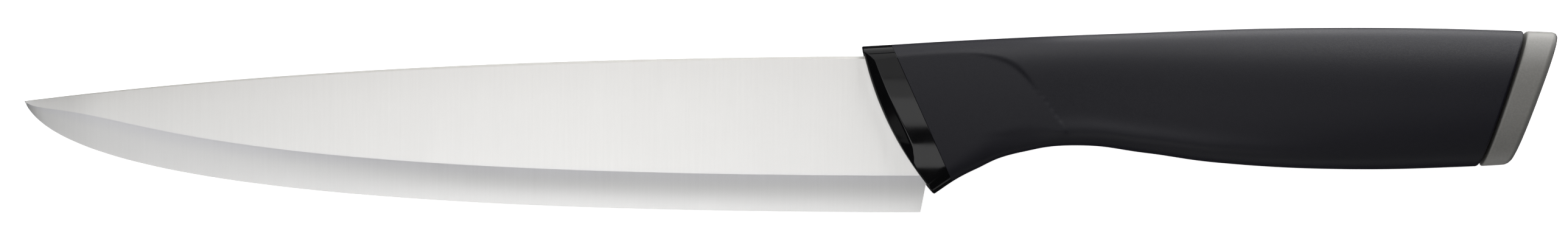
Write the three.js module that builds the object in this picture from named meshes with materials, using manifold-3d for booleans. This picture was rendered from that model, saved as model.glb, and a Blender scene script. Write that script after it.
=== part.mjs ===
// A slicing knife with a moulded handle, in millimetres.
// In the side view X runs from the tip to the butt, with the heel at 0, and Y from the edge to the spine.
// Z is the thickness. The finished knife lies on its side, with the middle of its footprint at the origin.
import * as THREE from "three";
import { mergeVertices } from "three/addons/utils/BufferGeometryUtils.js";
import Module from "manifold-3d";

const wasm = await Module();
wasm.setup();

const v2 = (x, y) => new THREE.Vector2(x, y);
const v3 = (x, y, z) => new THREE.Vector3(x, y, z);
const { lerp, clamp, degToRad } = THREE.MathUtils;
const range = (count, make) => Array.from({ length: count }, (_, i) => make(i));

// Blade
const bladeLength = 200;
const bladeHeight = 34.8;
const bladeThickness = 1.8;
const tipThickness = 1.2; // the plate tapers towards the tip
const taperLength = 110;
const tipHeight = 24.8;
const grindHeight = 8.3;
const grindTipRun = 7.2; // how far from the tip the bevel takes to open out
const grindHollow = 0.1; // depth of the hollow grind below a flat bevel
const edgeBevelHeight = 0.8;
const edgeBevelThickness = 0.4;
const spineChamfer = 0.3;
const pointLength = 14; // the last stretch, where the plate thins to the point
const pointThickness = 0.3;
const pointBlunt = 0.3; // what is stoned off the very point
const heelRise = 10; // the heel leans back up to here, and a shoulder runs forward from there
const heelLean = 1.9;
const shoulderSetback = 2; // from the collar joint's top forward to the blade's rear corner

// Tang
const tangLength = 78;
const tangInBlade = 6; // how far its root reaches into the blade
const tangRootHeight = 14;
const tangEndHeight = 9;
const tangDrop = 8.8; // from the spine down to the tang's middle
const lockHoleDiameter = 6;
const lockHolePlaces = [22, 54];

// Handle: where its joints cross the underside and the top, measured from the heel
const collarJointBottom = 6.9;
const collarJointTop = -6.6;
const capJointBottom = 123.9;
const capJointTop = 134.1;
const capLength = 7.4;

// Handle sections: rise of the top above the spine, height of the underside above the edge, and half width
const collarRise = 2.2;
const palmRise = 6.3;
const buttRise = 5.6;
const waistHeight = 14.9;
const palmHeight = 9.6;
const buttHeight = 10.1;
const collarHalfWidth = 9.7;
const waistHalfWidth = 9.05;
const palmHalfWidth = 11;
const buttHalfWidth = 10.4;
const sectionPower = 3; // 2 is an ellipse, more is boxier
const undersidePower = 5.5; // of the lower half at the collar, which rounds off towards the cap
const gripWall = 2.4;
const ribPlaces = [0.3, 0.56, 0.82]; // shares of the handle where ribs round the core key the grip
const ribHeight = 0.8;
const ribWidth = 3;

// Collar nose: an arc in the side view between two corners, which flattens to its chord at the sides
const noseRadius = 73.2;
const noseTopX = -13.1;
const noseFootX = 2.9;
const noseFootHeight = 4.4;
const noseFlat = 5; // half thickness of the square front

// Thumb facets, one on each side, slightly crowned from top to bottom
const facetHalfWidth = 9.25;
const facetCrownRadius = 115;
const facetCrownHeight = 16; // of the crown's crest above the edge
const facetTop = bladeHeight + 0.7;
const facetLevelEnd = 8; // where the top edge turns down, from the heel
const facetReach = 34.5; // where the sweep meets the underside, from the heel
const facetWallSlope = 1.4; // run of the rear wall for each millimetre of depth

// End cap, and its snap spigot in the core's pocket
const spigotHeight = 18;
const spigotWidth = 10.4;
const spigotCorner = 2.5;
const spigotLead = 3; // length past the snap ridge
const snapHeight = 0.6;
const snapLength = 2;
const snapSetback = 7; // from the cap joint to the snap ridge
const pocketDepth = 42;
const jointChamfer = 0.4; // along the groove between grip and cap
const capRearRound = 1.2;

const clearance = 0.3;

const bladeStations = 34;
const collarStations = 4;
const noseSteps = 4;
const gripStations = 34;
const coreStations = 16;
const ringPoints = 40;
const boreRingPoints = 28;
const arcPoints = 14;
const curvePoints = 12;
const finest = 0.01; // slivers smaller than this are closed up
const past = 40; // how far cutting shapes reach beyond what they cut

// The handle along its length, where 0 is the collar joint and 1 the cap joint.
const handleTop = new THREE.SplineCurve([
  v2(-0.1, 0.8 * collarRise), v2(-0.04, collarRise), v2(0.13, lerp(collarRise, palmRise, 0.34)),
  v2(0.36, lerp(collarRise, palmRise, 0.68)), v2(0.69, palmRise), v2(1, buttRise), v2(1.1, 0.86 * buttRise),
]);
const handleBottom = new THREE.SplineCurve([
  v2(-0.1, -0.5 * noseFootHeight), v2(-0.03, noseFootHeight),
  v2(0.044, lerp(noseFootHeight, waistHeight, 0.49)), v2(0.136, lerp(noseFootHeight, waistHeight, 0.87)),
  v2(0.23, waistHeight),
  v2(0.37, lerp(waistHeight, palmHeight, 0.32)), v2(0.51, lerp(waistHeight, palmHeight, 0.74)),
  v2(0.74, palmHeight), v2(0.97, buttHeight), v2(1.1, 1.09 * buttHeight),
]);
const handleHalfWidth = new THREE.SplineCurve([
  v2(-0.1, collarHalfWidth), v2(0.03, collarHalfWidth), v2(0.23, waistHalfWidth),
  v2(0.55, lerp(waistHalfWidth, palmHalfWidth, 0.88)), v2(0.75, palmHalfWidth),
  v2(1, buttHalfWidth), v2(1.1, 0.97 * buttHalfWidth),
]);

// Blade outlines: shares of the blade's length set where the curves turn.
const spineCurve = new THREE.CubicBezierCurve(
  v2(-bladeLength, tipHeight),
  v2(-0.73 * bladeLength, lerp(tipHeight, bladeHeight, 0.66)),
  v2(-0.42 * bladeLength, bladeHeight),
  v2(0, bladeHeight),
);
const edgeCurve = new THREE.CubicBezierCurve(
  v2(-bladeLength, tipHeight),
  v2(-0.965 * bladeLength, 0.32 * tipHeight),
  v2(-0.65 * bladeLength, 0.06 * tipHeight),
  v2(-0.22 * bladeLength, 0),
);

// Height of a curve, whose points run towards +X, at x.
function heightAt(curve, x) {
  let low = 0;
  let high = 1;
  for (let i = 0; i < 40; i++) {
    const middle = (low + high) / 2;
    if (curve.getPoint(middle).x < x) low = middle;
    else high = middle;
  }
  return curve.getPoint(low).y;
}

// A closed geometry through rings of points. flatten maps a ring to the plane in which its end is filled.
function loft(rings, flatten) {
  const size = rings[0].length;
  const triangles = [];
  for (let r = 0; r + 1 < rings.length; r++) {
    for (let i = 0; i < size; i++) {
      const a = r * size + i;
      const b = r * size + ((i + 1) % size);
      triangles.push(a, b, b + size, a, b + size, a + size);
    }
  }
  const filled = (ring) => THREE.ShapeUtils.triangulateShape(ring.map(flatten), []);
  const last = (rings.length - 1) * size;
  const turned = THREE.ShapeUtils.area(rings[0].map(flatten)) > 0;
  for (const [a, b, c] of filled(rings[0])) triangles.push(...(turned ? [a, c, b] : [a, b, c]));
  for (const [a, b, c] of filled(rings.at(-1))) {
    triangles.push(...(turned ? [a, b, c] : [a, c, b]).map((i) => i + last));
  }
  const geometry = new THREE.BufferGeometry().setFromPoints(rings.flat());
  geometry.setIndex(triangles);
  return geometry;
}

const acrossLength = (p) => v2(p.y, p.z);
const acrossThickness = (p) => v2(p.x, p.y);

// A solid between outlines that lie in planes of constant Z.
const stack = (layers) =>
  solid(loft(layers.map(({ z, outline }) => outline.map((p) => v3(p.x, p.y, z))), acrossThickness));

// A plate of a side-view shape, centred on the middle plane.
function plate(shape, thickness) {
  const options = { depth: thickness, bevelEnabled: false, curveSegments: curvePoints };
  return solid(new THREE.ExtrudeGeometry(shape, options).translate(0, 0, -thickness / 2));
}

function solid(geometry) {
  geometry.deleteAttribute("normal");
  geometry.deleteAttribute("uv");
  const merged = mergeVertices(geometry, 1e-4);
  const triVerts = new Uint32Array(merged.index.array);
  const mesh = new wasm.Mesh({ numProp: 3, vertProperties: merged.attributes.position.array, triVerts });
  const made = new wasm.Manifold(mesh);
  if (made.volume() > 0) return made;
  for (let i = 0; i < triVerts.length; i += 3) {
    [triVerts[i], triVerts[i + 1]] = [triVerts[i + 1], triVerts[i]];
  }
  return new wasm.Manifold(new wasm.Mesh({ numProp: 3, vertProperties: mesh.vertProperties, triVerts }));
}

function meshOf(name, body, material) {
  const { vertProperties, triVerts } = body.simplify(finest).getMesh();
  const geometry = new THREE.BufferGeometry();
  geometry.setAttribute("position", new THREE.BufferAttribute(vertProperties, 3));
  geometry.setIndex(new THREE.BufferAttribute(triVerts, 1));
  const faceted = geometry.toNonIndexed();
  faceted.computeVertexNormals();
  const mesh = new THREE.Mesh(faceted, material);
  mesh.name = name;
  return mesh;
}

// One section of the blade: chamfered spine, flat sides, hollow bevels and a keen edge.
function bladeRing(fromTip) {
  const x = fromTip - bladeLength;
  const spine = heightAt(spineCurve, x);
  const edge = heightAt(edgeCurve, x);
  const thinned = Math.sin((Math.PI / 2) * clamp(fromTip / pointLength, 0, 1));
  const plateThickness = lerp(tipThickness, bladeThickness, clamp(fromTip / taperLength, 0, 1));
  const half = lerp(pointThickness, plateThickness, thinned) / 2;
  const opened = 1 - Math.exp(-fromTip / grindTipRun);
  const grind = edge + grindHeight * opened;
  const shoulder = edge + edgeBevelHeight * opened;
  const shoulderHalf = (edgeBevelThickness / bladeThickness) * half;
  const chamfer = (spineChamfer / bladeThickness) * 2 * half;
  const side = [v2(spine, half - chamfer), v2(spine - chamfer, half), v2(grind, half)];
  for (const share of [0.25, 0.5, 0.75]) {
    const sag = grindHollow * opened * 4 * share * (1 - share) * (half / (bladeThickness / 2));
    side.push(v2(lerp(grind, shoulder, share), lerp(half, shoulderHalf, share) - sag));
  }
  side.push(v2(shoulder, shoulderHalf));
  const right = side.map((p) => v3(x, p.x, p.y));
  const left = side.map((p) => v3(x, p.x, -p.y)).reverse();
  return [...right, v3(x, edge, 0), ...left];
}

// The line behind the blade, from under the heel to above the spine, moved back by a shift.
function rearLine(shift) {
  const foot = v2(shift - heelLean / heelRise, -1);
  const shoulder = v2(shift + heelLean, heelRise);
  const top = v2(shift + collarJointTop - shoulderSetback, bladeHeight + clearance);
  return [foot, shoulder, top];
}

// The tang's outline, or that of the slot round it when it grows by a clearance.
function tangOutline(grow) {
  const root = collarJointTop - tangInBlade - grow;
  const endRadius = tangEndHeight / 2 + grow;
  const rootHalf = tangRootHeight / 2 + grow;
  const tangMiddle = bladeHeight - tangDrop;
  const outline = new THREE.Shape();
  outline.moveTo(root, tangMiddle - rootHalf);
  outline.lineTo(tangLength + grow - endRadius, tangMiddle - endRadius);
  outline.absarc(tangLength + grow - endRadius, tangMiddle, endRadius, -Math.PI / 2, Math.PI / 2, false);
  outline.lineTo(root, tangMiddle + rootHalf);
  outline.closePath();
  const holeRadius = lockHoleDiameter / 2 - grow;
  for (const x of lockHolePlaces) {
    outline.holes.push(new THREE.Path().absarc(x, tangMiddle, holeRadius, 0, 2 * Math.PI, true));
  }
  return outline;
}

const tangSlot = () => plate(tangOutline(clearance), bladeThickness + 2 * clearance);

// The blade and its tang, one stamping.
function makeBlade() {
  const rear = bladeLength + heelLean + 1;
  const closerAtTip = (i) => (i / (bladeStations - 1)) ** 1.5;
  const rings = range(bladeStations, (i) => bladeRing(lerp(pointBlunt, rear, closerAtTip(i))));
  const line = rearLine(0);
  const behind = new THREE.Shape([...line, v2(past, line.at(-1).y), v2(past, line[0].y)]);
  const trimmed = solid(loft(rings, acrossLength)).subtract(plate(behind, 2 * bladeThickness));
  return trimmed.add(plate(tangOutline(0), bladeThickness));
}

// The room in the collar for the blade's rear.
function bladeSlit() {
  const line = rearLine(clearance);
  const slit = new THREE.Shape([...line, v2(-past, line.at(-1).y), v2(-past, line[0].y)]);
  return plate(slit, bladeThickness + 2 * clearance);
}

// Length of the handle between its joints, halfway up.
const jointSpan = (capJointBottom + capJointTop - collarJointBottom - collarJointTop) / 2;
const halfGap = clearance / 2 / jointSpan;

// A station is a plane that stands on the side view at a share of the handle's length.
// The stations fan out from the leaning collar joint to the slanted butt.
function station(share) {
  const bottom = v2(lerp(collarJointBottom, capJointBottom, share), heightAt(handleBottom, share));
  const top = v2(lerp(collarJointTop, capJointTop, share), bladeHeight + heightAt(handleTop, share));
  const half = top.clone().sub(bottom).multiplyScalar(0.5);
  return { middle: bottom.add(half), up: half.clone().normalize(), halfHeight: half.length() };
}

// Places a section, drawn as height and thickness, on its station.
function placed(section, { middle, up }) {
  return section.map((p) => v3(middle.x + up.x * p.x, middle.y + up.y * p.x, p.y));
}

// A ring round the handle, taken in from its surface by an inset.
function handleRing(share, inset, points) {
  const place = station(share);
  const high = place.halfHeight - inset;
  const wide = heightAt(handleHalfWidth, share) - inset;
  const lowerPower = lerp(undersidePower, sectionPower, clamp(share, 0, 1));
  const section = range(points, (i) => {
    const turn = (2 * Math.PI * (i + 0.5)) / points;
    const power = Math.sin(turn) < 0 ? lowerPower : sectionPower;
    const rounded = (value) => Math.sign(value) * Math.abs(value) ** (2 / power);
    return v2(high * rounded(Math.sin(turn)), wide * rounded(Math.cos(turn)));
  });
  return placed(section, place);
}

// A length of the handle through pairs of share and inset.
const handleLoft = (pairs, points) =>
  solid(loft(pairs.map(([share, inset]) => handleRing(share, inset, points)), acrossLength));

const evenly = (from, to, count, inset) => range(count, (i) => [lerp(from, to, i / (count - 1)), inset]);

// The side-view outline of the collar's nose, whose arc is drawn back to its chord by a share.
// The arc runs on past the collar's top and bottom.
function noseOutline(flattened) {
  const foot = v2(noseFootX, noseFootHeight);
  const half = v2(noseTopX, bladeHeight + collarRise).sub(foot).multiplyScalar(0.5);
  const rise = Math.sqrt(noseRadius ** 2 - half.lengthSq());
  const upward = half.clone().normalize();
  const forward = v2(-upward.y, upward.x);
  const centre = foot.add(half).addScaledVector(forward, -rise);
  const spread = 1.5 * Math.asin(half.length() / noseRadius);
  const arc = range(arcPoints, (i) => {
    const turn = lerp(-spread, spread, i / (arcPoints - 1));
    const ahead = lerp(noseRadius * Math.cos(turn), rise, flattened);
    return centre.clone().addScaledVector(forward, ahead).addScaledVector(upward, noseRadius * Math.sin(turn));
  });
  return [...arc, v2(past, arc.at(-1).y), v2(past, arc[0].y)];
}

function noseBody() {
  const swell = range(noseSteps + 1, (i) => {
    const share = i / noseSteps;
    return { z: lerp(noseFlat, facetHalfWidth, share), outline: noseOutline(share ** 2) };
  });
  const right = [...swell, { z: past / 2, outline: noseOutline(1) }];
  const left = right.map(({ z, outline }) => ({ z: -z, outline })).reverse();
  return stack([...left, ...right]);
}

// The outline of a thumb facet: level along the top, then sweeping down and back to the underside.
function facetOutline(shift) {
  const foot = v2(facetReach, waistHeight - 1);
  const along = (share) => lerp(facetLevelEnd, foot.x, share);
  const sweep = new THREE.CubicBezierCurve(
    v2(facetLevelEnd, facetTop), v2(along(0.45), facetTop),
    v2(along(0.58), lerp(foot.y, facetTop, 0.77)), foot,
  );
  const outline = [v2(-past, facetTop), ...sweep.getPoints(curvePoints), v2(past, -past), v2(-past, -past)];
  return outline.map((p) => v2(p.x + shift, p.y + shift));
}

// A bar along the handle whose round top is the facets' crowned floor, lower by an inset.
function crownBar(inset) {
  const radius = facetCrownRadius - inset;
  const arc = range(arcPoints, (i) => {
    const angle = Math.PI / 2 + lerp(0.5, -0.5, i / (arcPoints - 1));
    return v2(radius * Math.cos(angle), radius * Math.sin(angle) + facetHalfWidth - facetCrownRadius);
  });
  const ringAt = (x) => [...arc, v2(past, -past), v2(-past, -past)]
    .map((p) => v3(x, facetCrownHeight + p.x, p.y));
  return solid(loft([ringAt(-2 * past), ringAt(2 * past)], acrossLength));
}

// Cuts the facets on both sides, deeper by an inset.
function withFacets(body, inset) {
  const depth = 6; // from below the crown's edges to out past the widest section
  const walls = stack([-depth, depth].map((rise) => {
    return { z: facetHalfWidth - inset + rise, outline: facetOutline(rise * facetWallSlope) };
  }));
  const cutter = walls.subtract(crownBar(inset));
  return body.subtract(cutter).subtract(cutter.mirror([0, 0, 1]));
}

// The collar: trimmed to its nose, and slit for the blade and its tang.
function makeCollar() {
  const aheadOfNose = -0.08;
  const body = handleLoft(evenly(aheadOfNose, -halfGap, collarStations, 0), ringPoints).intersect(noseBody());
  return withFacets(body, 0).subtract(bladeSlit()).subtract(tangSlot());
}

// Share and inset along the core or the bore round it, with the ribs that key them.
function ribbed(inset) {
  const half = ribWidth / 2 / jointSpan;
  const foot = half + ribHeight / jointSpan;
  const clear = evenly(halfGap, 1 - halfGap, coreStations, inset)
    .filter(([share]) => ribPlaces.every((place) => Math.abs(share - place) > 1.2 * foot));
  const ribs = ribPlaces.flatMap((place) => [
    [place - foot, inset], [place - half, inset - ribHeight],
    [place + half, inset - ribHeight], [place + foot, inset],
  ]);
  return [...clear, ...ribs].sort(([a], [b]) => a - b);
}

// The soft layer over the core, open at both ends.
function makeGrip() {
  const rear = 1 - halfGap;
  const outer = [...evenly(halfGap, rear - jointChamfer / jointSpan, gripStations, 0), [rear, jointChamfer]];
  const bore = handleLoft([[-0.05, gripWall], ...ribbed(gripWall), [1.05, gripWall]], boreRingPoints);
  return withFacets(handleLoft(outer, ringPoints), 0).subtract(withFacets(bore, gripWall));
}

// The end cap's spigot from behind the joint forwards, or the pocket round it when it grows by a clearance.
function spigotLoft(behind, length, grow) {
  const section = (back, extra) => {
    const outline = new THREE.Shape();
    const high = spigotHeight / 2 + grow + extra;
    const wide = spigotWidth / 2 + grow;
    outline.moveTo(-high + spigotCorner, -wide);
    outline.absarc(high - spigotCorner, -wide + spigotCorner, spigotCorner, -Math.PI / 2, 0, false);
    outline.absarc(high - spigotCorner, wide - spigotCorner, spigotCorner, 0, Math.PI / 2, false);
    outline.absarc(-high + spigotCorner, wide - spigotCorner, spigotCorner, Math.PI / 2, Math.PI, false);
    outline.absarc(-high + spigotCorner, -wide + spigotCorner, spigotCorner, Math.PI, 1.5 * Math.PI, false);
    return placed(outline.getPoints(4).slice(1), station(1 - back / jointSpan));
  };
  const slope = snapLength / 2 + grow;
  return solid(loft([
    section(-behind, 0), section(snapSetback - slope, 0), section(snapSetback, snapHeight),
    section(snapSetback + slope, 0), section(length, 0),
  ], acrossLength));
}

// The hard core: slotted for the tang, with pegs through the lock holes, and hollow behind it.
function makeCore() {
  const inset = gripWall + clearance;
  const body = withFacets(handleLoft(ribbed(inset), boreRingPoints), inset);
  return body.subtract(tangSlot()).subtract(spigotLoft(capLength, pocketDepth, clearance));
}

// The end cap: a plug with a chamfered front, a rounded rear edge and a flat slanted butt.
function makeCap() {
  const front = 1 + halfGap;
  const rear = front + capLength / jointSpan;
  const round = [0, 30, 60, 90].map((degrees) => {
    const turn = degToRad(degrees);
    return [rear - (capRearRound * (1 - Math.sin(turn))) / jointSpan, capRearRound * (1 - Math.cos(turn))];
  });
  const outer = [[front, jointChamfer], [front + jointChamfer / jointSpan, 0], ...round];
  const spigotLength = snapSetback + snapLength + spigotLead;
  return handleLoft(outer, ringPoints).add(spigotLoft(capLength / 2, spigotLength, 0));
}

const material = (color, roughness, metalness) =>
  new THREE.MeshStandardMaterial({ color, roughness, metalness });
const steel = material(0xd5d5d3, 0.35, 1);
const glossBlack = material(0x1b1b1c, 0.12, 0);
const hardBlack = material(0x242426, 0.5, 0);
const softBlack = material(0x232325, 0.75, 0);
const satinGrey = material(0x76746f, 0.45, 0.2);

const knife = new THREE.Group();
knife.add(meshOf("blade", makeBlade(), steel));
knife.add(meshOf("bolster_collar", makeCollar(), glossBlack));
knife.add(meshOf("handle_core", makeCore(), hardBlack));
knife.add(meshOf("soft_grip", makeGrip(), softBlack));
knife.add(meshOf("end_cap", makeCap(), satinGrey));

const box = new THREE.Box3().setFromObject(knife);
const centre = box.getCenter(v3(0, 0, 0));
knife.position.set(-centre.x, -centre.y, -box.min.z);

export default knife;
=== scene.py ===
import math

import bmesh
import bpy
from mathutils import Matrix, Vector


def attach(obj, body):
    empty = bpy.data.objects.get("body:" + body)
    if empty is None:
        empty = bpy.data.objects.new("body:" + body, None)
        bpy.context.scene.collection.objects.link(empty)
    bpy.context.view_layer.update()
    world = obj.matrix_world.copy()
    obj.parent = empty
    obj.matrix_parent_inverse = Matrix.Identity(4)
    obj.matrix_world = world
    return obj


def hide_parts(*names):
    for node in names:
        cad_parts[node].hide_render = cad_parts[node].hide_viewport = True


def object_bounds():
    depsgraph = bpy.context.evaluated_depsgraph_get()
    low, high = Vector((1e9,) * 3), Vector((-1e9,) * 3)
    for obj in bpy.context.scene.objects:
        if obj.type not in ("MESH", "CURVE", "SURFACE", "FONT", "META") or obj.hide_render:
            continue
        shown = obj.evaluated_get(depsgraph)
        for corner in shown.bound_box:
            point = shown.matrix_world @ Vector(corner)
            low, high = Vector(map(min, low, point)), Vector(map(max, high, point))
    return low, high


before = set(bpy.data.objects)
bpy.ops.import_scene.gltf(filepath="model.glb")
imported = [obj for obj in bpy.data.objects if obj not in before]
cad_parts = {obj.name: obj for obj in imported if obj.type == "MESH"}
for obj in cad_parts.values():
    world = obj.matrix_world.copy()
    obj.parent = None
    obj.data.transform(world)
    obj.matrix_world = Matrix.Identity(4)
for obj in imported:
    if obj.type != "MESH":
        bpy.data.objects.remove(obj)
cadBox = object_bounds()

mm = 0.001
lowCorner, highCorner = cadBox
bladeReach = 199.7  # tip to heel, in mm
bladeHeight = 34.8  # edge to spine at the heel
weldGap = 0.0006 * mm
doubleGap = 0.0005 * mm

# the side view is drawn in mm from the heel's corner:
# x runs to the butt, y to the spine and z out from the middle plane
heelCorner = Vector((
    lowCorner.x + bladeReach * mm,
    lowCorner.y,
    (lowCorner.z + highCorner.z) / 2,
))


# Node trees

class nodeNumber:  # a number in a node tree, so that a sum of nodes reads as a sum
    def __init__(self, tree, socket):
        self.tree = tree
        self.socket = socket

    def op(self, kind, *others):
        node = self.tree.nodes.new("ShaderNodeMath")
        node.operation = kind
        for place, value in enumerate((self, *others)):
            if isinstance(value, nodeNumber):
                self.tree.links.new(value.socket, node.inputs[place])
            else:
                node.inputs[place].default_value = value
        return nodeNumber(self.tree, node.outputs[0])

    def __add__(self, other):
        return self.op("ADD", other)

    def __sub__(self, other):
        return self.op("SUBTRACT", other)

    def __mul__(self, other):
        return self.op("MULTIPLY", other)

    def __truediv__(self, other):
        return self.op("DIVIDE", other)

    def __pow__(self, other):
        return self.op("POWER", other)

    def __neg__(self):
        return self * -1.0

    def __rmul__(self, other):
        return self * other

    def __rsub__(self, other):
        return -self + other

    def __rtruediv__(self, other):
        return self ** -1.0 * other

    def sin(self):
        return self.op("SINE")

    def cos(self):
        return self.op("COSINE")

    def size(self):
        return self.op("ABSOLUTE")

    def sign(self):
        return self.op("SIGN")

    def root(self):
        return self.op("SQRT")

    def above(self, least):
        return self.op("MAXIMUM", least)

    def below(self, most):
        return self.op("MINIMUM", most)

    def softBelow(self, most, blend):
        return self.op("SMOOTH_MIN", most, blend)

    def softAbove(self, least, blend):
        return self.op("SMOOTH_MAX", least, blend)

    def share(self):  # held between 0 and 1
        return self.above(0.0).below(1.0)

    def towards(self, other, part):
        return self + (other - self) * part


def loftTree(name, sizes):  # a grid whose points the caller places: along it in X, round it in Y
    tree = bpy.data.node_groups.new(name, "GeometryNodeTree")
    tree.interface.new_socket("Geometry", in_out="OUTPUT", socket_type="NodeSocketGeometry")
    for title, kind in [("Along", "Int"), ("Around", "Int"), ("Finish", "Material")]:
        tree.interface.new_socket(title, in_out="INPUT", socket_type="NodeSocket" + kind)
    for title in sizes:
        tree.interface.new_socket(title, in_out="INPUT", socket_type="NodeSocketFloat")
    given = tree.nodes.new("NodeGroupInput")
    grid = tree.nodes.new("GeometryNodeMeshGrid")
    grid.inputs["Size X"].default_value = 1.0
    grid.inputs["Size Y"].default_value = 1.0
    tree.links.new(given.outputs["Along"], grid.inputs["Vertices X"])
    tree.links.new(given.outputs["Around"], grid.inputs["Vertices Y"])
    place = tree.nodes.new("GeometryNodeInputPosition")
    split = tree.nodes.new("ShaderNodeSeparateXYZ")
    tree.links.new(place.outputs[0], split.inputs[0])
    along = nodeNumber(tree, split.outputs["X"]) + 0.5
    around = nodeNumber(tree, split.outputs["Y"]) + 0.5
    values = {title: nodeNumber(tree, given.outputs[title]) for title in sizes}
    return tree, given, grid, along, around, values


# places the grid's points, welds the seams and sets the finish
def closeLoft(tree, given, grid, x, y, z, zone):
    mark = tree.nodes.new("GeometryNodeStoreNamedAttribute")
    mark.inputs["Name"].default_value = "zone"
    tree.links.new(grid.outputs["Mesh"], mark.inputs["Geometry"])
    tree.links.new(zone.socket, mark.inputs["Value"])
    join = tree.nodes.new("ShaderNodeCombineXYZ")
    for socket, value, start in zip(join.inputs, (x, y, z), heelCorner):
        tree.links.new((value * mm + start).socket, socket)
    move = tree.nodes.new("GeometryNodeSetPosition")
    weld = tree.nodes.new("GeometryNodeMergeByDistance")
    weld.inputs["Distance"].default_value = weldGap
    smooth = tree.nodes.new("GeometryNodeSetShadeSmooth")
    real = tree.nodes.new("GeometryNodeRealizeInstances")
    paint = tree.nodes.new("GeometryNodeSetMaterial")
    result = tree.nodes.new("NodeGroupOutput")
    tree.links.new(mark.outputs["Geometry"], move.inputs["Geometry"])
    tree.links.new(join.outputs[0], move.inputs["Position"])
    for first, second in zip((move, weld, smooth, real, paint), (weld, smooth, real, paint, result)):
        tree.links.new(first.outputs[0], second.inputs[0])
    tree.links.new(given.outputs["Finish"], paint.inputs["Material"])


def profile(factor, points, top):  # a curve through a few given points, as a node, drawn up to a top
    tree = factor.tree
    low, high = points[0][0], points[-1][0]
    node = tree.nodes.new("ShaderNodeFloatCurve")
    line = node.mapping.curves[0]
    placed = [((x - low) / (high - low), y / top) for x, y in points]
    line.points[0].location = placed[0]
    line.points[1].location = placed[-1]
    for spot in placed[1:-1]:
        line.points.new(*spot)
    node.mapping.use_clip = False
    node.mapping.update()
    tree.links.new(((factor - low) / (high - low)).socket, node.inputs["Value"])
    return nodeNumber(tree, node.outputs[0]) * top


railPoints = 400


def bezierRail(tree, start, startHandle, endHandle, end, factor):  # a point on a curve in the side view
    segment = tree.nodes.new("GeometryNodeCurvePrimitiveBezierSegment")
    segment.inputs["Resolution"].default_value = railPoints
    spots = {"Start": start, "Start Handle": startHandle, "End Handle": endHandle, "End": end}
    for title, spot in spots.items():
        segment.inputs[title].default_value = (*spot, 0.0)
    sample = tree.nodes.new("GeometryNodeSampleCurve")
    sample.mode = "FACTOR"
    tree.links.new(segment.outputs[0], sample.inputs["Curves"])
    tree.links.new(factor.socket, sample.inputs["Factor"])
    split = tree.nodes.new("ShaderNodeSeparateXYZ")
    tree.links.new(sample.outputs["Position"], split.inputs[0])
    return nodeNumber(tree, split.outputs["X"]), nodeNumber(tree, split.outputs["Y"])


def growPiece(name, tree, finish, along, around, sizes):  # runs a tree and keeps its plain mesh
    holder = bpy.data.objects.new(name, bpy.data.meshes.new(name))
    bpy.context.collection.objects.link(holder)
    modifier = holder.modifiers.new("loft", "NODES")
    modifier.node_group = tree
    settings = {"Along": along, "Around": around, "Finish": finish, **sizes}
    for item in tree.interface.items_tree:
        if item.in_out == "INPUT":
            modifier[item.identifier] = settings[item.name]
    bpy.context.view_layer.update()
    evaluated = holder.evaluated_get(bpy.context.evaluated_depsgraph_get())
    made = bpy.data.meshes.new_from_object(evaluated)
    holder.modifiers.remove(modifier)
    holder.data = made
    made.name = name
    return holder


def tidyMesh(piece, sharpAngle):  # doubles merged, normals out, hard edges kept hard
    work = bmesh.new()
    work.from_mesh(piece.data)
    bmesh.ops.remove_doubles(work, verts=work.verts, dist=doubleGap)
    bmesh.ops.recalc_face_normals(work, faces=work.faces)
    if work.calc_volume(signed=True) < 0.0:
        bmesh.ops.reverse_faces(work, faces=work.faces)
    work.to_mesh(piece.data)
    work.free()
    piece.data.set_sharp_from_angle(angle=math.radians(sharpAngle))
    print(piece.name, "faces", len(piece.data.polygons))


# Materials

noiseLow, noiseHigh = 0.3, 0.7  # nearly all of a noise lies between these


def newFinish(name):
    finish = bpy.data.materials.new(name)
    finish.use_nodes = True
    nodes = finish.node_tree.nodes
    return finish, nodes, finish.node_tree.links, nodes["Principled BSDF"]


def stretchedNoise(nodes, links, stretch, detail):  # noise on object coordinates, scaled along each axis
    where = nodes.new("ShaderNodeTexCoord")
    turn = nodes.new("ShaderNodeMapping")
    turn.inputs["Scale"].default_value = stretch
    noise = nodes.new("ShaderNodeTexNoise")
    noise.inputs["Scale"].default_value = 1.0
    noise.inputs["Detail"].default_value = detail
    links.new(where.outputs["Object"], turn.inputs["Vector"])
    links.new(turn.outputs["Vector"], noise.inputs["Vector"])
    return noise


def remap(nodes, links, source, low, high):
    node = nodes.new("ShaderNodeMapRange")
    node.inputs["From Min"].default_value = noiseLow
    node.inputs["From Max"].default_value = noiseHigh
    node.inputs["To Min"].default_value = low
    node.inputs["To Max"].default_value = high
    links.new(source, node.inputs["Value"])
    return node.outputs["Result"]


def blendColours(nodes, links, source, dark, light):
    node = nodes.new("ShaderNodeValToRGB")
    node.color_ramp.elements[0].position = noiseLow
    node.color_ramp.elements[1].position = noiseHigh
    node.color_ramp.elements[0].color = (*dark, 1.0)
    node.color_ramp.elements[1].color = (*light, 1.0)
    links.new(source, node.inputs["Fac"])
    return node.outputs["Color"]


def roughen(nodes, links, shader, source, depth):  # a fine bump
    bump = nodes.new("ShaderNodeBump")
    bump.inputs["Strength"].default_value = 1.0
    bump.inputs["Distance"].default_value = depth
    links.new(source, bump.inputs["Height"])
    links.new(bump.outputs["Normal"], shader.inputs["Normal"])


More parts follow.
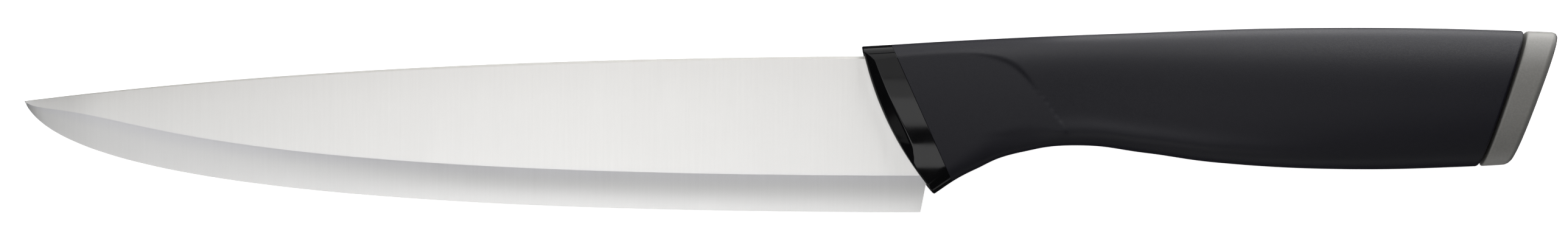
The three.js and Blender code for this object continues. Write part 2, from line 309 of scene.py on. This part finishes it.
def paintShadeByZone(nodes, links, colour, steps):  # paints shade into a colour: darkens it by the point's place on its piece
    zone = nodes.new("ShaderNodeAttribute")
    zone.attribute_name = "zone"
    low, high = steps[0][0], steps[-1][0]
    span = nodes.new("ShaderNodeMapRange")
    span.inputs["From Min"].default_value = low
    span.inputs["From Max"].default_value = high
    links.new(zone.outputs["Fac"], span.inputs["Value"])
    ramp = nodes.new("ShaderNodeValToRGB")
    while len(ramp.color_ramp.elements) < len(steps):
        ramp.color_ramp.elements.new(1.0)
    for stop, (place, tint) in zip(ramp.color_ramp.elements, steps):
        stop.position = (place - low) / (high - low)
        stop.color = (*tint, 1.0)
    links.new(span.outputs["Result"], ramp.inputs["Fac"])
    dim = nodes.new("ShaderNodeMix")
    dim.data_type = "RGBA"
    dim.blend_type = "MULTIPLY"
    dim.inputs["Factor"].default_value = 1.0
    links.new(colour, dim.inputs["A"])
    links.new(ramp.outputs["Color"], dim.inputs["B"])
    return dim.outputs["Result"]


steel = {
    "dark": (0.681, 0.675, 0.665),
    "light": (0.699, 0.693, 0.683),
    "roughness": (0.32, 0.36),
    "grain": (1700.0, 60.0, 60.0),  # fine grinding lines run across the blade
    "detail": 3.0,
    "grainDepth": 0.0000008,
    # zone on the section and the painted shade there, as a tint: up to 1 the spine, to 2 the flat, to 3 the
    # grind, to 4 the edge; painted darker at the spine and the flat near it, darker and bluer at the top of
    # the grind
    "paintedShade": [
        (0.0, (0.78, 0.77, 0.75)), (0.9, (0.80, 0.79, 0.77)), (1.0, (0.90, 0.895, 0.89)),
        (1.4, (0.955, 0.953, 0.95)), (1.98, (1.0, 1.0, 1.0)), (2.02, (0.925, 0.930, 0.970)),
        (2.4, (0.980, 0.985, 0.995)), (4.0, (1.0, 1.0, 1.0)),
    ],
}


def satinSteel():
    finish, nodes, links, shader = newFinish("satinSteel")
    grain = stretchedNoise(nodes, links, steel["grain"], steel["detail"])
    shader.inputs["Metallic"].default_value = 1.0
    tint = blendColours(nodes, links, grain.outputs["Fac"], steel["dark"], steel["light"])
    # painted shade on the steel: darker at the spine and at the top of the grind
    links.new(paintShadeByZone(nodes, links, tint, steel["paintedShade"]), shader.inputs["Base Color"])
    links.new(remap(nodes, links, grain.outputs["Fac"], *steel["roughness"]), shader.inputs["Roughness"])
    roughen(nodes, links, shader, grain.outputs["Fac"], steel["grainDepth"])
    return finish


gloss = {
    "dark": (0.0036, 0.0036, 0.0041),
    "light": (0.0048, 0.0048, 0.0054),
    "roughness": (0.06, 0.09),
    "sheen": 0.23,
    "grain": 260.0,
    "grainDepth": 0.0,
}
soft = {
    "dark": (0.0034, 0.0033, 0.0074),
    "light": (0.0050, 0.0048, 0.0098),
    "roughness": (0.48, 0.58),
    "sheen": 0.35,
    "grain": 3600.0,
    "grainDepth": 0.000012,
}
hard = {
    "dark": (0.0080, 0.0080, 0.0088),
    "light": (0.0115, 0.0115, 0.0125),
    "roughness": (0.34, 0.46),
    "sheen": 0.4,
    "grain": 1500.0,
    "grainDepth": 0.000008,
}
grey = {
    "dark": (0.195, 0.192, 0.181),
    "light": (0.223, 0.219, 0.207),
    "roughness": (0.36, 0.44),
    "sheen": 0.25,
    "grain": 2400.0,
    "grainDepth": 0.000006,
    # share of the cap's length and the painted shade there: the rear face and its rim are painted darker
    "paintedShade": [
        (0.0, (1.0, 1.0, 1.0)), (0.80, (1.0, 1.0, 1.0)),
        (0.90, (0.60, 0.60, 0.60)), (1.0, (0.60, 0.60, 0.60)),
    ],
}


plasticDetail = 2.0


def mouldedPlastic(name, look):
    finish, nodes, links, shader = newFinish(name)
    grain = stretchedNoise(nodes, links, [look["grain"]] * 3, plasticDetail)
    colour = blendColours(nodes, links, grain.outputs["Fac"], look["dark"], look["light"])
    # painted shade by the piece's zone, for a look that has it (the cap's darker rim and rear face)
    if "paintedShade" in look:
        colour = paintShadeByZone(nodes, links, colour, look["paintedShade"])
    links.new(colour, shader.inputs["Base Color"])
    links.new(remap(nodes, links, grain.outputs["Fac"], *look["roughness"]), shader.inputs["Roughness"])
    shader.inputs["Specular IOR Level"].default_value = look["sheen"]
    if look["grainDepth"] > 0.0:
        roughen(nodes, links, shader, grain.outputs["Fac"], look["grainDepth"])
    return finish


# Blade

blade = {
    "tip": (-bladeReach, 24.8),
    "spineHandles": ((-146.0, 31.4), (-84.0, bladeHeight)),
    "spineEnd": (6.6, bladeHeight),  # inside the handle
    "edgeHandles": ((-192.3, 6.6), (-118.0, 0.0)),
    "heel": (0.0, 0.0),
    "sizes": {
        "Thickness": 1.8,
        "Tip Thickness": 0.9,
        "Tip Run": 110.0,
        "Point Thickness": 0.3,
        "Point Length": 14.0,
        "Grind Height": 8.3,
        "Grind Run": 7.2,
        "Hollow": 0.19,
        "Edge Height": 0.15,
        "Edge Thickness": 0.012,
        "Spine Bevel": 0.6,
        "Spine Drop": 0.11,
    },
    "along": 320,
    "around": 101,
    "crowding": 1.5,  # of the rows towards the tip
    "closing": 400.0,  # more than the rows, so that only the first and the last one close
    "leastHeight": 0.0001,
    "sharpAngle": 3.0,
}
# where the spine, its bevel, the flat, the grind and the edge end on half a section
sectionBreaks = (0.04, 0.10, 0.40, 0.96, 1.0)


def bladeTree():
    tree, given, grid, along, around, size = loftTree("bladeLoft", blade["sizes"])
    lastRow = 1.0 - 1.0 / (blade["along"] - 1)
    station = (along / lastRow).share() ** blade["crowding"]
    spineX, spineY = bezierRail(tree, blade["tip"], *blade["spineHandles"], blade["spineEnd"], station)
    edgeX, edgeY = bezierRail(tree, blade["tip"], *blade["edgeHandles"], blade["heel"], station)
    height = ((spineX - edgeX) ** 2.0 + (spineY - edgeY) ** 2.0).root()

    fromTip = edgeX - blade["tip"][0]
    opened = 1.0 - (fromTip / size["Grind Run"] * -1.0).op("EXPONENT")
    thinned = ((fromTip / size["Point Length"]).share() * (math.pi / 2)).sin()
    taper = (fromTip / size["Tip Run"]).share()
    plate = size["Tip Thickness"].towards(size["Thickness"], taper)
    half = size["Point Thickness"].towards(plate, thinned) / 2.0
    leanness = half / size["Thickness"] * 2.0
    ends = (along * blade["closing"]).share() * ((1.0 - along) * blade["closing"]).share()

    down = 1.0 - (around * 2.0 - 1.0).size()  # 0 at the spine, 1 at the edge
    start = 0.0
    parts = []
    for stop in sectionBreaks:
        parts.append(((down - start) / (stop - start)).share())
        start = stop
    top, spineBevel, flat, bevel, keen = parts
    spineWidth = size["Spine Bevel"] * leanness
    spineDrop = size["Spine Drop"] * leanness
    bevelHeight = size["Grind Height"] * opened
    edgeHeight = size["Edge Height"] * opened
    edgeHalf = size["Edge Thickness"] / 2.0 * leanness
    depth = (
        spineWidth * spineBevel
        + (height - spineWidth - bevelHeight) * flat
        + (bevelHeight - edgeHeight) * bevel
        + edgeHeight * keen
    )
    sag = size["Hollow"] * leanness * taper * 4.0 * bevel * (1.0 - bevel)  # deepest halfway
    rise = (half - spineDrop) * top + spineDrop * spineBevel
    out = rise - (half - edgeHalf) * bevel - sag - edgeHalf * keen
    reach = depth / height.above(blade["leastHeight"])
    x = spineX.towards(edgeX, reach)
    y = spineY.towards(edgeY, reach)
    z = out * ends * (0.5 - around).sign()
    closeLoft(tree, given, grid, x, y, z, spineBevel + flat + bevel + keen)
    return tree


# Handle

handle = {
    "joints": {"Collar Bottom": 6.9, "Collar Top": -6.6, "Cap Bottom": 123.9, "Cap Top": 134.1},
    # share of the handle and millimetres: top above the spine, underside above the edge, half width
    "top": [(-0.1, 1.76), (-0.04, 2.2), (0.13, 3.6), (0.36, 5.0), (0.69, 6.3), (1.0, 5.6), (1.1, 4.8)],
    "underside": [
        (-0.1, -2.2), (-0.03, 4.4), (0.044, 9.55), (0.136, 13.5), (0.23, 14.9),
        (0.37, 13.2), (0.51, 11.0), (0.74, 9.6), (0.97, 10.1), (1.1, 11.0),
    ],
    "halfWidth": [
        (-0.1, 9.8), (0.03, 9.7), (0.2, 8.8), (0.55, 10.8),
        (0.73, 11.0), (0.88, 10.6), (1.0, 9.95), (1.1, 9.2),
    ],
    "boxiness": (3.3, 2.6),  # of the section at the collar and at the cap
    # how much boxier the lower half is
    "boxyBelow": [
        (-0.1, 2.4), (0.06, 3.4), (0.15, 3.9), (0.24, 3.5),
        (0.4, 2.6), (0.65, 1.2), (0.9, 0.0), (1.1, 0.0),
    ],
    "noseCentre": (58.6, 52.0),
    "noseRadius": 73.2,
    # height above the edge and width of the chamfer round the nose, which is none at its foot
    "noseWidth": [
        (0.0, -1.2), (7.0, -0.9), (10.0, -0.2), (13.0, 1.2), (16.0, 2.1),
        (20.0, 2.4), (27.0, 2.2), (32.0, 1.9), (36.0, 1.5), (44.0, 1.0),
    ],
    "noseSlope": 0.95,
    "noseCrease": 0.45,
    "facetHalf": 9.25,
    "facetCrest": 16.0,
    "facetCrown": (115.0, 70.0),  # radius above the crest and below it
    # the facet's border in the side view: level, then sweeping down to the underside
    "facetEdge": [
        (-20.0, 35.5), (0.0, 35.5), (8.0, 35.5), (15.0, 34.6), (19.4, 33.0), (22.4, 30.8),
        (25.0, 27.8), (28.2, 23.5), (34.5, 14.0), (42.0, 2.5),
    ],
    "facetWall": 0.6,
    # distance from the heel and how far the lip over the fingers stands out
    "lip": [
        (-20.0, 0.0), (14.0, 0.0), (32.0, 0.62), (48.0, 0.84),
        (73.0, 0.58), (105.0, 0.0), (150.0, 0.0),
    ],
    "lipHeight": 3.2,  # of its crest above the underside
    "lipSpread": 2.4,
    "proud": 0.075,  # share by which the facet stands out where it meets the underside
    "proudTop": 32.0,
    "proudTopFade": 6.0,
    "proudFoot": 17.0,
    "proudFootFade": 3.0,
    "proudStart": 8.0,
    "proudStartFade": 10.0,
    "proudRun": 1.0,
    "facetCrease": 0.32,
    "sharpAngle": 35.0,
}
handleSizes = [
    "Front Bottom", "Front Top", "Rear Bottom", "Rear Top",
    "Front Bulge", "Front Round", "Rear Round", "Wall", "Open Ends",
]
roundRows = 0.04  # share of the rows that round an end's edge


def handleTree():
    tree, given, grid, along, around, size = loftTree("handleLoft", handleSizes)
    fromRear = 1.0 - along
    steps = nodeNumber(tree, given.outputs["Along"]) - 1.0
    closing = (along * steps).share().below((fromRear * steps).share())
    closing = closing.above(size["Open Ends"])  # 0 on the first and last row, which close the ends
    faceRows = 1.0 / steps
    frontTurn = ((along - faceRows) / roundRows).share() * (math.pi / 2)
    rearTurn = ((fromRear - faceRows) / roundRows).share() * (math.pi / 2)
    frontInset = size["Front Round"] * (1.0 - frontTurn.sin())
    rearInset = size["Rear Round"] * (1.0 - rearTurn.sin())
    inset = size["Wall"] + frontInset + rearInset
    edges = faceRows + roundRows
    body = ((along - edges) / (1.0 - 2.0 * edges)).share()
    lengthBottom = size["Rear Bottom"] - size["Front Bottom"]
    lengthTop = size["Rear Top"] - size["Front Top"]
    length = (lengthBottom + lengthTop) / 2.0
    run = (
        size["Front Round"] * (1.0 - frontTurn.cos())
        + body * (length - size["Front Round"] - size["Rear Round"])
        + size["Rear Round"] * rearTurn.cos()
    ) / length

    # the station: a line from the underside to the top that leans as the joints do
    joint = handle["joints"]
    bottomX = size["Front Bottom"] + run * lengthBottom
    topX = size["Front Top"] + run * lengthTop
    bottomShare = (bottomX - joint["Collar Bottom"]) / (joint["Cap Bottom"] - joint["Collar Bottom"])
    topShare = (topX - joint["Collar Top"]) / (joint["Cap Top"] - joint["Collar Top"])
    bottomY = profile(bottomShare, handle["underside"], 20.0)
    topY = profile(topShare, handle["top"], 10.0) + bladeHeight
    middle = (bottomShare + topShare) / 2.0
    wide = profile(middle, handle["halfWidth"], 20.0)
    halfX = (topX - bottomX) / 2.0
    halfY = (topY - bottomY) / 2.0
    high = (halfX ** 2.0 + halfY ** 2.0).root()

    # the section: a boxy ellipse
    turn = around * (2.0 * math.pi)
    boxyFront, boxyRear = handle["boxiness"]
    below = profile(middle, handle["boxyBelow"], 4.0) * (-turn.sin()).above(0.0)
    power = middle.share() * (boxyRear - boxyFront) + boxyFront + below
    spread = (turn.cos().size() ** power + turn.sin().size() ** power) ** (-1.0 / power)
    up = turn.sin() * spread
    out = turn.cos() * spread
    lift = up * (high - inset) / high
    bulge = size["Front Bulge"] * (1.0 - run) * (1.0 - up * up) / high
    x = (bottomX + topX) / 2.0 + halfX * lift - bulge * halfY
    y = (bottomY + topY) / 2.0 + halfY * lift + bulge * halfX
    fromCrest = ((up + 1.0) * high - handle["lipHeight"]) / handle["lipSpread"]
    lip = profile(x, handle["lip"], 1.0) * (fromCrest ** 2.0 * -1.0).op("EXPONENT")
    side = (wide - inset + lip) * out

    # the thumb facets and the nose hold the sides in
    edge = profile(x, handle["facetEdge"], 50.0)
    aboveCrest = (y - handle["facetCrest"]).above(0.0) ** 2.0 / (2.0 * handle["facetCrown"][0])
    belowCrest = (handle["facetCrest"] - y).above(0.0) ** 2.0 / (2.0 * handle["facetCrown"][1])
    crown = aboveCrest + belowCrest
    facet = (y - edge).above(0.0) * handle["facetWall"] - crown + handle["facetHalf"]
    inside = ((edge - y) / handle["proudRun"] + 0.5).share()
    inside = inside * ((handle["proudTop"] - y) / handle["proudTopFade"]).share()
    inside = inside * ((y - handle["proudFoot"]) / handle["proudFootFade"]).share()
    inside = inside * ((x - handle["proudStart"]) / handle["proudStartFade"]).share()
    proud = side.size() * (inside * handle["proud"] + 1.0)
    centreX, centreY = handle["noseCentre"]
    fromArc = handle["noseRadius"] - ((x - centreX) ** 2.0 + (y - centreY) ** 2.0).root()
    chamfer = profile(y, handle["noseWidth"], 4.0) - fromArc
    nose = facet - chamfer.softAbove(0.0, handle["noseCrease"]) * handle["noseSlope"]
    limit = nose - inset
    z = proud.softBelow(limit, handle["facetCrease"]) * side.sign() * closing
    closeLoft(tree, given, grid, x, y, z, run)
    return tree


collar = {
    "Front Bottom": 2.9, "Front Top": -13.1, "Rear Bottom": 6.89, "Rear Top": -6.61,
    "Front Bulge": 2.25, "Front Round": 0.3, "Rear Round": 0.04, "Wall": 0.0, "Open Ends": 0.0,
}
grip = {
    "Front Bottom": 6.91, "Front Top": -6.59, "Rear Bottom": 124.0, "Rear Top": 134.25,
    "Front Bulge": 0.0, "Front Round": 0.04, "Rear Round": 0.6, "Wall": 0.0, "Open Ends": 1.0,
}
cap = {
    "Front Bottom": 124.75, "Front Top": 135.0, "Rear Bottom": 131.1, "Rear Top": 142.1,
    "Front Bulge": 0.0, "Front Round": 0.5, "Rear Round": 1.4, "Wall": 0.0, "Open Ends": 0.0,
}
# the grip's inside, round the core
gripLining = {**grip, "Front Round": 0.0, "Rear Round": 0.0, "Wall": 2.0}
liningRows = 60


def lineSleeve(piece, lining):  # joins an open tube and its lining at both ends
    work = bmesh.new()
    work.from_mesh(lining.data)
    bmesh.ops.reverse_faces(work, faces=work.faces)
    work.from_mesh(piece.data)
    rims = [edge for edge in work.edges if edge.is_boundary]
    middle = sum(edge.verts[0].co.x for edge in rims) / len(rims)
    bmesh.ops.bridge_loops(work, edges=[edge for edge in rims if edge.verts[0].co.x < middle])
    bmesh.ops.bridge_loops(work, edges=[edge for edge in rims if edge.verts[0].co.x >= middle])
    work.to_mesh(piece.data)
    work.free()
    bpy.data.objects.remove(lining)


steelFinish = satinSteel()
glossFinish = mouldedPlastic("glossBlack", gloss)
softFinish = mouldedPlastic("softTouch", soft)
hardFinish = mouldedPlastic("hardBlack", hard)
greyFinish = mouldedPlastic("satinGrey", grey)

bladeLoft = bladeTree()
bladeGrid = blade["along"], blade["around"]
bladePiece = growPiece("bladeSteel", bladeLoft, steelFinish, *bladeGrid, blade["sizes"])
tidyMesh(bladePiece, blade["sharpAngle"])
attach(bladePiece, "root")
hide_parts("blade")
print("blade done")

handleLoft = handleTree()
handlePieces = [
    # name, sizes, finish, rows along, points round, the solid it stands for, slot
    ("frontCollar", collar, glossFinish, 96, 441, "bolster_collar", "gloss_black"),
    ("gripSleeve", grip, softFinish, 300, 221, "soft_grip", "soft_black"),
    ("buttCap", cap, greyFinish, 84, 181, "end_cap", "satin_grey"),
]
for name, sizes, finish, rows, points, node, slot in handlePieces:
    piece = growPiece(name, handleLoft, finish, rows, points, sizes)
    if sizes is grip:
        lining = growPiece("gripLining", handleLoft, finish, liningRows, points, gripLining)
        lineSleeve(piece, lining)
    tidyMesh(piece, handle["sharpAngle"])
    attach(piece, "root")
    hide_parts(node)
print("handle done")

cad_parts["handle_core"].material_slots[0].material = hardFinish  # out of sight under the grip


# Studio

studio = {
    "floorSize": 25.0,
    "floorColour": (0.86, 0.86, 0.86),
    "floorGlow": 0.85,
    "floorRoughness": 0.9,
    "worldLight": 0.01,
    "lights": [
        # name, place, turn in degrees, size, brightness
        ("overheadFar", (-0.07, 0.146, 1.30), (0.0, 0.0, 0.0), (0.46, 0.160), 2.65),
        ("overheadStep", (-0.10, 0.274, 1.28), (0.0, 0.0, 0.0), (0.48, 0.096), 1.7),
        ("overheadMid", (-0.14, 0.535, 1.25), (0.0, 0.0, 0.0), (0.52, 0.426), 1.15),
        ("overheadNear", (-0.13, -0.142, 1.30), (0.0, 0.0, 0.0), (0.58, 0.204), 2.7),
        ("spineFill", (-0.24, 1.0, 0.60), (-59.0, 0.0, 0.0), (0.72, 1.2), 1.3),
        ("spineKey", (0.42, 1.0, 0.60), (-59.0, 0.0, 0.0), (0.48, 1.2), 6.2),
        ("spineFloor", (0.53, 0.27, 0.002), (180.0, 0.0, 0.0), (0.94, 0.48), 2.9),
        ("collarFloor", (-0.04, 0.27, 0.002), (180.0, 0.0, 0.0), (0.20, 0.48), 0.9),
        ("edgeHigh", (-0.16, -0.62, 1.10), (29.0, 0.0, 0.0), (0.68, 0.4), 0.8),
        ("edgeLeft", (-0.15, -0.95, 0.70), (53.0, 0.0, 0.0), (0.50, 0.6), 2.1),
        ("edgeFloor", (0.31, -0.27, 0.002), (180.0, 0.0, 0.0), (0.50, 0.45), 0.6),
        ("noseSide", (-0.465, -0.48, 0.125), (81.0, 0.0, -44.0), (0.36, 0.24), 1.6),
        ("noseStep", (-0.594, -0.309, 0.125), (81.0, 0.0, -62.5), (0.08, 0.24), 0.4),
    ],
    # panels round the blade alone, for views from the side: how far off, their size and brightness
    "surround": {"away": 2.6, "size": (4.2, 2.4), "brightness": 0.85},
    "cameraAim": (-30.4, 21.0),  # the picture's middle in the side view
    "cameraWidth": 349.5,
    "cameraHeight": 1200.0,
    "cameraReach": 100.0,
    "sensor": 36.0,
}


def makeFloor():
    bpy.ops.mesh.primitive_plane_add(size=2.0 * studio["floorSize"])
    floor = bpy.context.object
    floor.name = "studioFloor"
    paint, _, _, shader = newFinish("floorPaint")
    shader.inputs["Base Color"].default_value = (*studio["floorColour"], 1.0)
    shader.inputs["Roughness"].default_value = studio["floorRoughness"]
    shader.inputs["Emission Color"].default_value = (1.0, 1.0, 1.0, 1.0)
    shader.inputs["Emission Strength"].default_value = studio["floorGlow"]
    floor.data.materials.append(paint)
    floor.visible_glossy = False


def addPanel(name, place, turn, size, brightness):  # a soft box
    lamp = bpy.data.lights.new(name, "AREA")
    lamp.shape = "RECTANGLE"
    lamp.size, lamp.size_y = size
    lamp.energy = brightness * math.pi * size[0] * size[1]  # so that brightness is what a mirror sees
    panel = bpy.data.objects.new(name, lamp)
    panel.location = place
    panel.rotation_euler = [math.radians(angle) for angle in turn]
    panel.visible_camera = False
    bpy.context.collection.objects.link(panel)
    return panel


def makeLights():
    world = bpy.data.worlds.new("studioWorld")
    bpy.context.scene.world = world
    world.use_nodes = True
    sky = world.node_tree.nodes["Background"]
    sky.inputs["Color"].default_value = (1.0, 1.0, 1.0, 1.0)
    sky.inputs["Strength"].default_value = studio["worldLight"]
    for name, place, turn, size, brightness in studio["lights"]:
        addPanel(name, place, turn, size, brightness)
    surround = studio["surround"]
    away = surround["away"]
    lit = bpy.data.collections.new("bladeOnly")
    lit.objects.link(bladePiece)
    for quarter in range(4):
        angle = quarter * math.pi / 2
        place = (away * math.sin(angle), -away * math.cos(angle), surround["size"][1] / 2)
        turn = (90.0, 0.0, math.degrees(angle))
        panel = addPanel("surround%d" % quarter, place, turn, surround["size"], surround["brightness"])
        panel.light_linking.receiver_collection = lit


def makeCamera():
    lens = bpy.data.cameras.new("studioCamera")
    lens.sensor_fit = "HORIZONTAL"
    lens.sensor_width = studio["sensor"]
    lens.lens = studio["sensor"] * studio["cameraHeight"] / studio["cameraWidth"]
    lens.clip_end = studio["cameraReach"]
    camera = bpy.data.objects.new("studioCamera", lens)
    aimX, aimY = studio["cameraAim"]
    camera.location = heelCorner + Vector((aimX, aimY, studio["cameraHeight"])) * mm
    bpy.context.collection.objects.link(camera)
    bpy.context.scene.camera = camera


makeFloor()
makeLights()
makeCamera()
bpy.context.scene.view_settings.view_transform = "Standard"
print("studio done")
